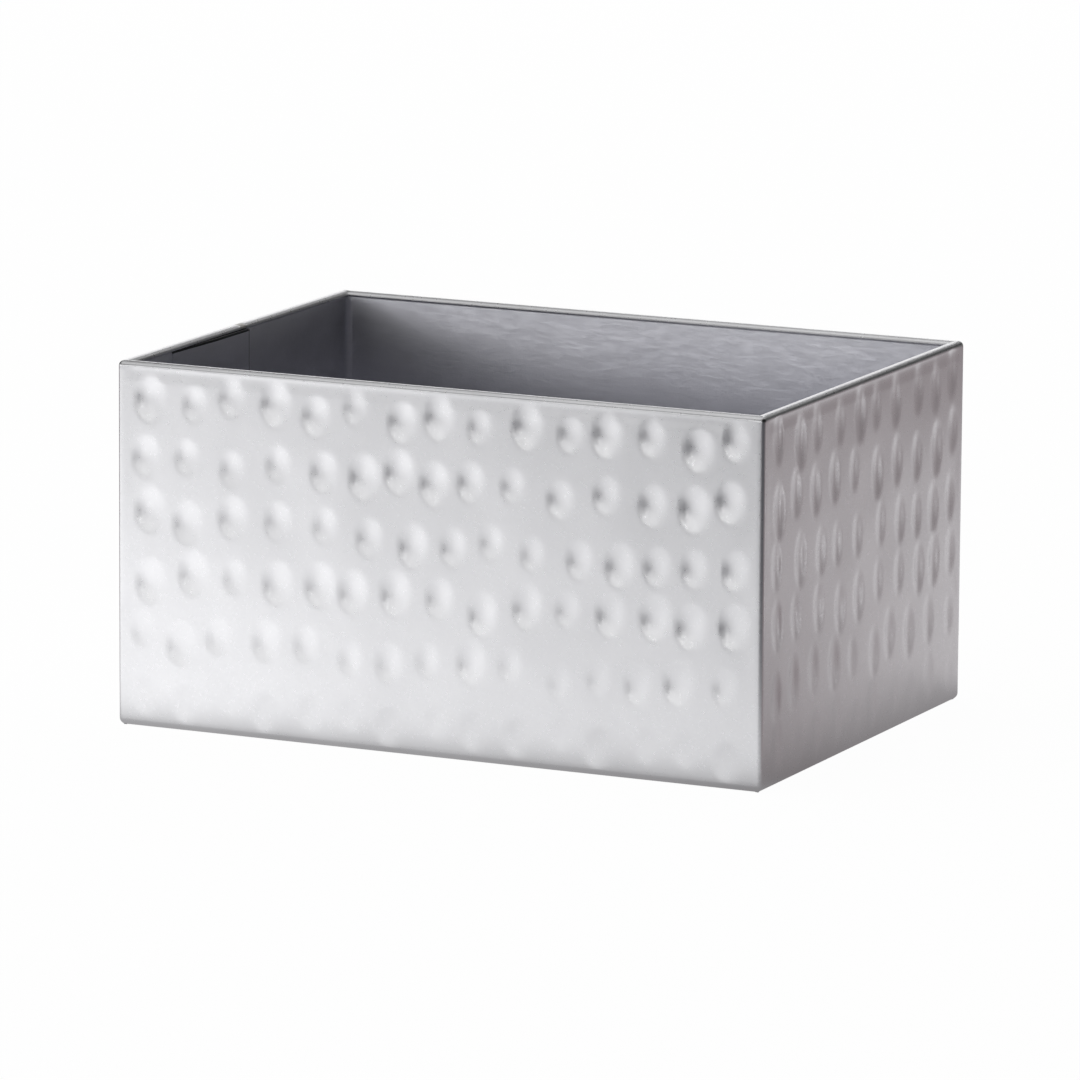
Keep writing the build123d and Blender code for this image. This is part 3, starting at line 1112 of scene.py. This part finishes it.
@dataclass
class Liner:
    """The smooth inner band with its turned-in foot and its lapped seam on the left wall.

    Attributes:
        corner_r: Outside radius of the upright corners.
        foot_r: Outside radius of the foot's bend.
        foot_width: How far in the foot reaches from the liner's outer face.
        lap_end_y: Free end of the lap.
        lap_length: Overlap.
        jog_length: Length of the step in front of the overlap.
        lap_gap: Gap between the two layers.
        lap_welds: Number of plug welds that hold the lap.
        weld_crown: How far they stand out of it.
        tab_clear: Gap between the lap and the floor.
        slit: Width of the slits in the foot.
        tab_drop: How far the top of the lap falls towards its free end.
        step: Spacing of stations and levels.
    """

    corner_r: float = 1.3
    foot_r: float = 0.8
    foot_width: float = 4.8
    lap_end_y: float = 1.0
    lap_length: float = 8.0
    jog_length: float = 14.0
    lap_gap: float = 0.05
    lap_welds: int = 4
    weld_crown: float = 0.02
    tab_clear: float = 0.2
    slit: float = 0.3
    tab_drop: float = 0.05
    step: float = 1.5

    TAB_STATIONS = 60
    NOSE_POINTS = 6

    def __post_init__(self) -> None:
        """Takes the size, the levels and the thickness of the sheet from the frame."""
        low, high = node_box("liner")
        self.half_x, self.half_y = high[0], high[1]
        self.bottom, self.top = low[2], high[2]
        floor_low, floor_high = node_box("floor_plate")
        self.sheet_t = floor_low[2] - self.bottom
        self.tab_bottom = floor_high[2] + self.tab_clear
        self.lap_start_y = self.lap_end_y - self.lap_length
        self.jog_start_y = self.lap_start_y - self.slit - self.jog_length

    def lap_tab(self) -> np.ndarray:
        """Sections of the front end of the band, which steps in and lies over the rear end.

        The step is an ease from 0 to the sheet's thickness and the gap. The section is a thin upright
        strip with rounded top and bottom edges, and its top falls a little towards the free end.

        Returns:
            Points in millimetres, as stations by section points by 3.
        """
        y = np.linspace(self.lap_end_y, self.jog_start_y, self.TAB_STATIONS)[:, None]
        step_in = (self.sheet_t + self.lap_gap) * smooth_step((y - self.jog_start_y) / self.jog_length)
        top = self.top - self.tab_drop * smooth_step((y - self.lap_start_y) / self.lap_length)
        half = self.sheet_t / 2
        nose = np.linspace(0.0, math.pi, self.NOSE_POINTS)[None, :]
        share = np.array([FoldedSheet.INSIDE_SHARES])[:, 1:-1]
        high, low = top - half, self.tab_bottom + half
        parts = [
            (half * (1 + np.cos(nose)), high + half * np.sin(nose)),
            (np.zeros_like(share), high + (low - high) * share),
            (half * (1 - np.cos(nose)), low - half * np.sin(nose)),
            (np.full_like(share, self.sheet_t), low + (high - low) * share),
        ]
        inset, level = join_parts(parts, len(y))
        x = -self.half_x + step_in + inset
        return np.stack([x, np.broadcast_to(y, x.shape), level], axis=2)

    def build(self) -> None:
        """Builds the band and its lap, and the plug welds of the lap."""
        sheet = FoldedSheet(
            thickness=self.sheet_t,
            bottom=self.bottom,
            top=self.top,
            foot_r=self.foot_r,
            foot_edge=self.foot_width,
            slit=self.slit,
            wall_step=self.step,
        )
        breaks = (sheet.mitre_start(self.foot_width, self.slit),)
        path = BandPath(self.half_x, self.half_y, self.corner_r, self.step, breaks)
        stations = path.round_from(self.jog_start_y, self.lap_start_y)
        flat = np.zeros((len(stations.point), len(sheet.wall_levels())))
        bend = (self.half_x - self.corner_r, self.half_y - self.corner_r)
        lap = (self.jog_start_y, self.lap_end_y)
        # The lap's place and top level set where the liner's finish paints its shade.
        brushed = replace(LINER_BRUSHED, bend=bend, lap=lap, lap_top=self.top).material()
        band = Shell()
        band.add_sweep(sheet.outline(stations, flat))
        band.add_sweep(self.lap_tab())
        place_piece(band.piece("smooth_liner", brushed), "brushed_liner", "liner")

        plugs = Shell()
        tab_x = -self.half_x + self.sheet_t + self.lap_gap + self.sheet_t / 2
        spacing = (self.top - self.tab_bottom) / self.lap_welds
        lift = (self.sheet_t / 2 + self.weld_crown) * X_AXIS
        for number in range(self.lap_welds):
            level = self.tab_bottom + spacing * (number + 0.5)
            spot = np.array([tab_x, (self.lap_start_y + self.lap_end_y) / 2, level])
            plugs.add_lens(spot, PLUG_R * Y_AXIS, PLUG_R * Z_AXIS, lift)
        place_piece(plugs.piece("lap_plug_welds", GROUND_WELD.material()), "ground_weld", "liner_lap_welds")


@dataclass
class FlatPlates:
    """The plates that keep their solids: the packets' floor with its plug welds, and the base.

    Attributes:
        floor: Finish of the floor plate.
        floor_welds: Finish of its plug welds.
        base: Finish of the base plate.
    """

    floor: SteelFinish = FLOOR_BRUSHED
    floor_welds: SteelFinish = GROUND_WELD
    base: SteelFinish = MILL_PLATE

    def dress(self) -> None:
        """Gives each plate and weld its finish."""
        finishes = {
            "floor_plate": self.floor,
            "floor_plug_welds": self.floor_welds,
            "base_plate": self.base,
        }
        for name, finish in finishes.items():
            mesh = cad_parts[name].data
            mesh.materials.clear()
            mesh.materials.append(finish.material())
            LOG.info("%s: finish %s", name, finish.name)


@dataclass(frozen=True)
class Softbox:
    """A rectangle of soft light that faces the holder.

    Attributes:
        name: Name of the lamp.
        place: Place of its middle, in metres.
        width: Width, in metres.
        height: Height, in metres.
        radiance: Brightness of its face, where 1 shows as white.
    """

    name: str
    place: tuple[float, float, float]
    width: float
    height: float
    radiance: float

    def hang(self) -> None:
        """Adds the lamp to the scene; its power is pi times its area times its brightness."""
        lamp = bpy.data.lights.new(self.name, "AREA")
        lamp.shape = "RECTANGLE"
        lamp.size, lamp.size_y = self.width, self.height
        lamp.energy = math.pi * self.width * self.height * self.radiance
        holder = bpy.data.objects.new(self.name, lamp)
        holder.location = Vector(self.place)
        holder.rotation_euler = holder.location.to_track_quat("Z", "Y").to_euler()
        holder.visible_camera = False
        bpy.context.scene.collection.objects.link(holder)


@dataclass(frozen=True)
class PaintedGlow:
    """A patch of painted light on the table, which only the metal shows, as a painted reflection.

    Attributes:
        middle: Middle of the patch, in metres.
        turn: Turn of its length from the X axis, in degrees.
        half_length: Half of its length, in metres.
        half_width: Half of its width, in metres.
        blur: Half of the width over which its edges fade, in metres.
        brightness: How bright its painted light shows.
    """

    middle: Pair
    turn: float
    half_length: float
    half_width: float
    blur: float
    brightness: float

    def glow(self, x: Value, y: Value) -> Value:
        """Brightness by place: full inside, eased to 0 across the edges of a turned rectangle.

        Args:
            x: Place along X.
            y: Place along Y.

        Returns:
            The brightness.
        """
        cos, sin = math.cos(math.radians(self.turn)), math.sin(math.radians(self.turn))
        aside, ahead = x - self.middle[0], y - self.middle[1]
        length = (aside * cos + ahead * sin).size()
        width = (ahead * cos - aside * sin).size()
        inside_length = length.between(self.half_length + self.blur, self.half_length - self.blur)
        inside_width = width.between(self.half_width + self.blur, self.half_width - self.blur)
        return self.brightness * inside_length * inside_width


@dataclass(frozen=True)
class WhiteTable:
    """The table top: white to the camera; in reflections, a painted glow, dim but for its bright patches.

    Sizes are in metres.

    Attributes:
        low: Front left corner.
        high: Back right corner.
        drop: How far it lies under the holder, so that the two do not share a face.
        matt: Colour of the table under the lamps.
        shine: Share of its own light that the camera sees, which leaves the rest for the shadow.
        mirror: Share of its own light that reflections see.
        white: Colour of its own light to the camera.
        front_dim: Painted shade of the table in front of the holder, in reflections.
        back_dim: The same beside and behind it, a warmer painted shade.
        glow_colour: Colour of the bright patches of painted reflection.
        front_glows: The patches in front, one over the other.
        back_glows: The patch behind, and a narrow one at the right, which the sides of the marks show.
        front_line: Where the front gives way to the back, from and to.
        footprint: Half length and half width of what stands on it.
        near_reach: Distance from there over which the painted shadow by the holder fades.
        near_level: Brightness left where the holder stands, under that painted shadow.
    """

    low: Pair = (-1.6, -0.9)
    high: Pair = (0.9, 1.6)
    drop: float = 0.00005
    matt: Colour = (0.92, 0.92, 0.92, 1.0)
    shine: float = 0.93
    mirror: float = 0.97
    white: Colour = (1.045, 1.045, 1.045, 1.0)
    front_dim: Colour = (0.10, 0.10, 0.11, 1.0)
    back_dim: Colour = (0.275, 0.24, 0.247, 1.0)
    glow_colour: Colour = (1.12, 1.12, 1.13, 1.0)
    # Patches of painted light that only reflections show.
    front_glows: tuple[PaintedGlow, ...] = (
        PaintedGlow((-0.149, -0.121), 54.0, 0.22, 0.16, 0.05, 0.72),
        PaintedGlow((-0.198, -0.086), 54.0, 0.25, 0.12, 0.04, 0.44),
    )
    back_glows: tuple[PaintedGlow, ...] = (
        PaintedGlow((0.024, 0.108), 65.0, 0.15, 0.07, 0.04, 0.44),
        PaintedGlow((0.191, 0.120), 41.0, 0.10, 0.016, 0.012, 0.70),
    )
    front_line: Pair = (-0.02, -0.05)
    footprint: Pair = (0.0485, 0.0345)
    near_reach: float = 0.02
    near_level: float = 0.55

    def glow(self, shader: Shader) -> bpy.types.NodeSocket:
        """Painted colour in reflections: the dim table, bright patches, and painted shadow by the holder.

        Args:
            shader: Tree that the nodes are added to.

        Returns:
            The colour's socket.
        """
        x, y, _ = shader.place()
        front = y.between(*self.front_line)
        # Bright patches of painted reflection, in front and behind.
        ahead = sum(sheet.glow(x, y) for sheet in self.front_glows)
        behind = sum(sheet.glow(x, y) for sheet in self.back_glows)
        glows = front * ahead + (1 - front) * behind
        # Painted shade of the table in reflections: dark in front, dim beside and behind.
        dim = shader.tint(front, self.back_dim, self.front_dim)
        # Painted contact shadow that darkens reflections of the table near the holder.
        away = (x.size() - self.footprint[0]).most(y.size() - self.footprint[1])
        open_air = self.near_level + (1 - self.near_level) * away.between(0.0, self.near_reach)
        lit = shader.tint(glows, dim, self.glow_colour)
        return shader.tint(open_air, (0.0, 0.0, 0.0, 1.0), lit)

    def lay(self) -> None:
        """Lays the table top: matt to the lamps, and mostly its own light to the camera and mirrors."""
        (left, near), (right, far), level = self.low, self.high, -self.drop
        corners = [(left, near, level), (right, near, level), (right, far, level), (left, far, level)]
        mesh = bpy.data.meshes.new("floor")
        mesh.from_pydata(corners, [], [(0, 1, 2, 3)])
        material = bpy.data.materials.new("white_floor")
        material.use_nodes = True
        shader = Shader(material.node_tree)
        rays = shader.node("ShaderNodeLightPath", {}, {})
        camera = Value(shader, rays.outputs["Is Camera Ray"])
        mirrored = Value(shader, rays.outputs["Is Glossy Ray"])
        seen_through = Value(shader, rays.outputs["Is Transmission Ray"])
        colour = shader.tint(mirrored, self.white, self.glow(shader))
        matt = shader.node("ShaderNodeBsdfDiffuse", {}, {"Color": self.matt})
        shining = shader.node("ShaderNodeEmission", {}, {"Color": colour, "Strength": 1.0})
        share = self.shine * camera + self.mirror * mirrored + self.shine * seen_through
        sockets = {0: share, 1: matt.outputs[0], 2: shining.outputs[0]}
        mixed = shader.node("ShaderNodeMixShader", {}, sockets)
        shader.node("ShaderNodeOutputMaterial", {}, {"Surface": mixed.outputs[0]})
        mesh.materials.append(material)
        floor = bpy.data.objects.new("floor", mesh)
        bpy.context.scene.collection.objects.link(floor)


@dataclass
class Studio:
    """The white table, the soft light and the camera.

    Attributes:
        table: The table top.
        softboxes: The lamps.
        room_white: Colour of the room.
        world_grey: Brightness of the room as light.
        camera_place: Place of the camera, in millimetres.
        camera_azimuth: Bearing of the camera from the front, in degrees.
        camera_elevation: Height of the camera above the horizon, in degrees.
        camera_roll: Turn of the camera about its own axis, in degrees.
        camera_lens: Focal length, in millimetres, on the sensor.
        camera_sensor: Width of the sensor, in millimetres.
        camera_clip: Nearest and farthest distances that it sees, in metres.
    """

    table: WhiteTable = WhiteTable()
    softboxes: tuple[Softbox, ...] = (
        Softbox("front_wall", (-0.230, -0.859, 0.141), 0.48, 0.285, 1.05),
        Softbox("front_low", (0.108, -0.883, 0.062), 0.42, 0.100, 1.15),
        Softbox("left_wall", (-0.754, -0.471, 0.141), 0.95, 0.285, 1.10),
        Softbox("front_sky", (-0.359, -0.769, 0.849), 1.0, 0.8, 0.42),
        Softbox("back_left", (-0.54, 1.15, 0.27), 0.9, 0.5, 1.15),
        Softbox("back_right_low", (0.50, 1.00, 0.16), 0.9, 0.30, 0.13),
        Softbox("back_right_sky", (0.446, 0.772, 0.803), 1.0, 0.7, 0.15),
        Softbox("top_back", (0.0, 0.77, 0.92), 1.2, 0.8, 0.40),
        Softbox("top_left", (-0.68, -0.12, 0.98), 1.2, 0.8, 0.35),
        Softbox("top", (0.0, 0.0, 1.1), 1.0, 1.0, 0.50),
    )
    room_white: Colour = (1.0, 1.0, 1.0, 1.0)
    world_grey: float = 0.005
    camera_place: tuple[float, float, float] = (499.2, -1061.0, 249.9)
    camera_azimuth: float = 25.22
    camera_elevation: float = 10.89
    camera_roll: float = 0.40
    camera_lens: float = 286.7
    camera_sensor: float = 36.0
    camera_clip: Pair = (0.01, 20.0)

    def light_room(self) -> None:
        """Lights the room: a dim grey world that the camera sees as white, and the softboxes."""
        world = bpy.data.worlds.new("studio")
        world.use_nodes = True
        bpy.context.scene.world = world
        shader = Shader(world.node_tree)
        rays = shader.node("ShaderNodeLightPath", {}, {})
        dim, white = (
            shader.node("ShaderNodeBackground", {}, {"Color": self.room_white, "Strength": strength})
            for strength in (self.world_grey, 1.0)
        )
        sockets = {0: rays.outputs["Is Camera Ray"], 1: dim.outputs[0], 2: white.outputs[0]}
        mixed = shader.node("ShaderNodeMixShader", {}, sockets)
        shader.node("ShaderNodeOutputWorld", {}, {"Surface": mixed.outputs[0]})
        for softbox in self.softboxes:
            softbox.hang()

    def set_camera(self) -> None:
        """Stands the camera where the photograph was taken, with its small roll."""
        data = bpy.data.cameras.new("camera")
        data.sensor_width = self.camera_sensor
        data.lens = self.camera_lens
        data.clip_start, data.clip_end = self.camera_clip
        camera = bpy.data.objects.new("camera", data)
        turn = (
            Matrix.Rotation(math.radians(self.camera_azimuth), 4, "Z")
            @ Matrix.Rotation(math.radians(90.0 - self.camera_elevation), 4, "X")
            @ Matrix.Rotation(math.radians(self.camera_roll), 4, "Z")
        )
        camera.matrix_world = Matrix.Translation(Vector(self.camera_place) * MM) @ turn
        bpy.context.scene.collection.objects.link(camera)
        bpy.context.scene.camera = camera

    def build(self) -> None:
        """Sets up the floor, the light, the camera and plain colour management."""
        self.table.lay()
        self.light_room()
        self.set_camera()
        bpy.context.scene.view_settings.view_transform = "Standard"
        LOG.info("studio: %d softboxes", len(self.softboxes))


def main() -> None:
    """Builds the studio and dresses the holder, piece by piece."""
    logging.basicConfig(level=logging.INFO, format="%(name)s: %(message)s")
    Studio().build()
    OuterSkin().build()
    Liner().build()
    FlatPlates().dress()


if __name__ == "__main__":
    main()
